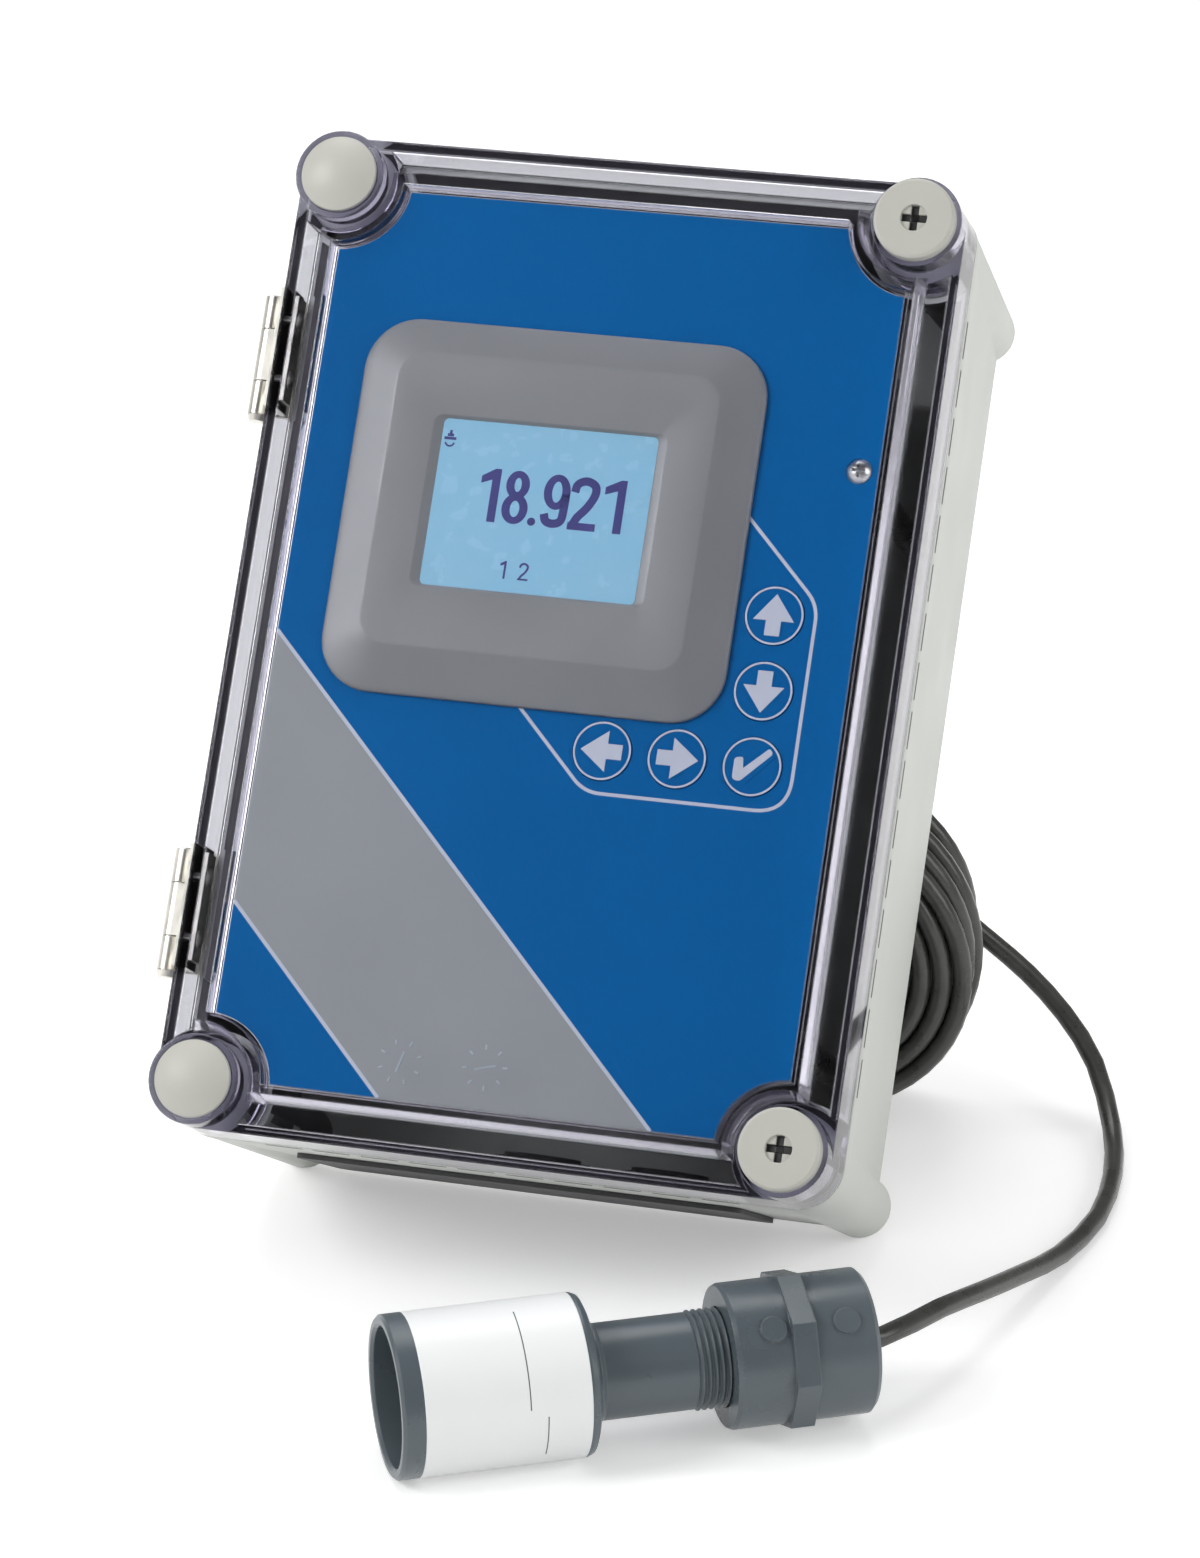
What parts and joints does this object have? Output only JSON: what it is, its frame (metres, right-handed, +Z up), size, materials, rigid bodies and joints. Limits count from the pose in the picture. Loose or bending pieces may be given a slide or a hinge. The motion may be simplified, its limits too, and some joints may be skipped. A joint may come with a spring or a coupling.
{
  "type": "ultrasonic level sensor",
  "caption": "Wall-mount level monitor with a clear hinged cover, display and round keys, joined by a coiled cable to a cup-shaped ultrasonic transducer on a pipe coupling.",
  "frame": {"origin": "centre of the footprint of the monitor and transducer, on the ground", "axes": "+Z up, +X to the right of the monitor's face, +Y away from the viewer; the transducer lies in front and the cable coil stands behind"},
  "size_m": [0.2535, 0.3319, 0.2941],
  "materials": {
    "shell_plastic": "light grey moulded, fine satin",
    "gasket_rubber": "matte",
    "zinc_steel": "bright zinc",
    "board_laminate": "solder mask",
    "core_steel": "varnished laminations",
    "relay_plastic": "moulded",
    "terminal_plastic": "moulded",
    "component_black": "moulded",
    "lead_plastic": "flat lead",
    "plug_plastic": "moulded",
    "panel_sheet": "satin sheet",
    "overlay_film": "satin printed film",
    "bezel_plastic": "fine satin moulded",
    "screen_glass": "lit display",
    "key_plastic": "satin film key",
    "nickel_steel": "bright nickel plate",
    "clear_plastic": "clear moulded",
    "cap_plastic": "light grey moulded",
    "pvc_plastic": "dark grey pipe plastic, satin",
    "sounding_plastic": "matte",
    "label_film": "bare white film",
    "cable_jacket": "satin jacket",
    "tie_plastic": "strap"
  },
  "bodies": {
    "enclosure": {"base_housing": "shell_plastic", "cover_gasket": "gasket_rubber", "board_standoffs": "zinc_steel", "panel_pillars": "zinc_steel", "panel_screw": "zinc_steel", "display_spacers": "zinc_steel", "main_board": "board_laminate", "display_board": "board_laminate", "power_transformer": "core_steel", "output_relays": "relay_plastic", "power_terminals": "terminal_plastic", "signal_terminals": "terminal_plastic", "filter_capacitors": "component_black", "lcd_module": "component_black", "key_switches": "component_black", "ribbon_lead": "lead_plastic", "entry_plate": "plug_plastic", "face_panel": "panel_sheet", "face_overlay": "overlay_film", "display_bezel": "bezel_plastic", "lcd_screen": "screen_glass", "hinge_base_leaf_upper": "nickel_steel", "hinge_base_leaf_lower": "nickel_steel", "hinge_pin_upper": "nickel_steel", "hinge_pin_lower": "nickel_steel", "base_rivets": "nickel_steel", "sensor_body": "pvc_plastic", "pipe_coupling": "pvc_plastic", "transducer_face": "sounding_plastic", "sensor_label": "label_film", "sensor_cable": "cable_jacket", "cable_coil": "cable_jacket", "coil_tie": "tie_plastic"},
    "cover": {"clear_cover": "clear_plastic", "cover_cap_upper": "cap_plastic", "cover_cap_lower": "cap_plastic", "hinge_cover_leaf_upper": "nickel_steel", "hinge_cover_leaf_lower": "nickel_steel", "hinge_backing_upper": "nickel_steel", "hinge_backing_lower": "nickel_steel", "cover_rivets": "nickel_steel"},
    "cover_screw_upper": {"cover_screw_upper": "cap_plastic"},
    "cover_screw_lower": {"cover_screw_lower": "cap_plastic"},
    "key_up": {"key_up": "key_plastic"},
    "key_down": {"key_down": "key_plastic"},
    "key_left": {"key_left": "key_plastic"},
    "key_right": {"key_right": "key_plastic"},
    "key_enter": {"key_enter": "key_plastic"}
  },
  "joints": [
    {"name": "cover_hinge", "type": "hinge", "parent": "enclosure", "child": "cover", "pos_m": [-0.1075, 0.01436, 0.16408], "axis": [0, -0.5505, -0.8348], "range_deg": [0, 170]},
    {"name": "cover_screw_upper_turn", "type": "hinge", "parent": "cover", "child": "cover_screw_upper", "pos_m": [0.076, 0.06607, 0.28283], "axis": [0, -0.8348, 0.5505], "continuous": true},
    {"name": "cover_screw_lower_turn", "type": "hinge", "parent": "cover", "child": "cover_screw_lower", "pos_m": [0.076, -0.07442, 0.06977], "axis": [0, -0.8348, 0.5505], "continuous": true},
    {"name": "key_up_press", "type": "slide", "parent": "enclosure", "child": "key_up", "axis": [0, 0.8348, -0.5505], "range_m": [0, 0.0005], "stiffness_N_per_m": 2000},
    {"name": "key_down_press", "type": "slide", "parent": "enclosure", "child": "key_down", "axis": [0, 0.8348, -0.5505], "range_m": [0, 0.0005], "stiffness_N_per_m": 2000},
    {"name": "key_left_press", "type": "slide", "parent": "enclosure", "child": "key_left", "axis": [0, 0.8348, -0.5505], "range_m": [0, 0.0005], "stiffness_N_per_m": 2000},
    {"name": "key_right_press", "type": "slide", "parent": "enclosure", "child": "key_right", "axis": [0, 0.8348, -0.5505], "range_m": [0, 0.0005], "stiffness_N_per_m": 2000},
    {"name": "key_enter_press", "type": "slide", "parent": "enclosure", "child": "key_enter", "axis": [0, 0.8348, -0.5505], "range_m": [0, 0.0005], "stiffness_N_per_m": 2000}
  ]
}
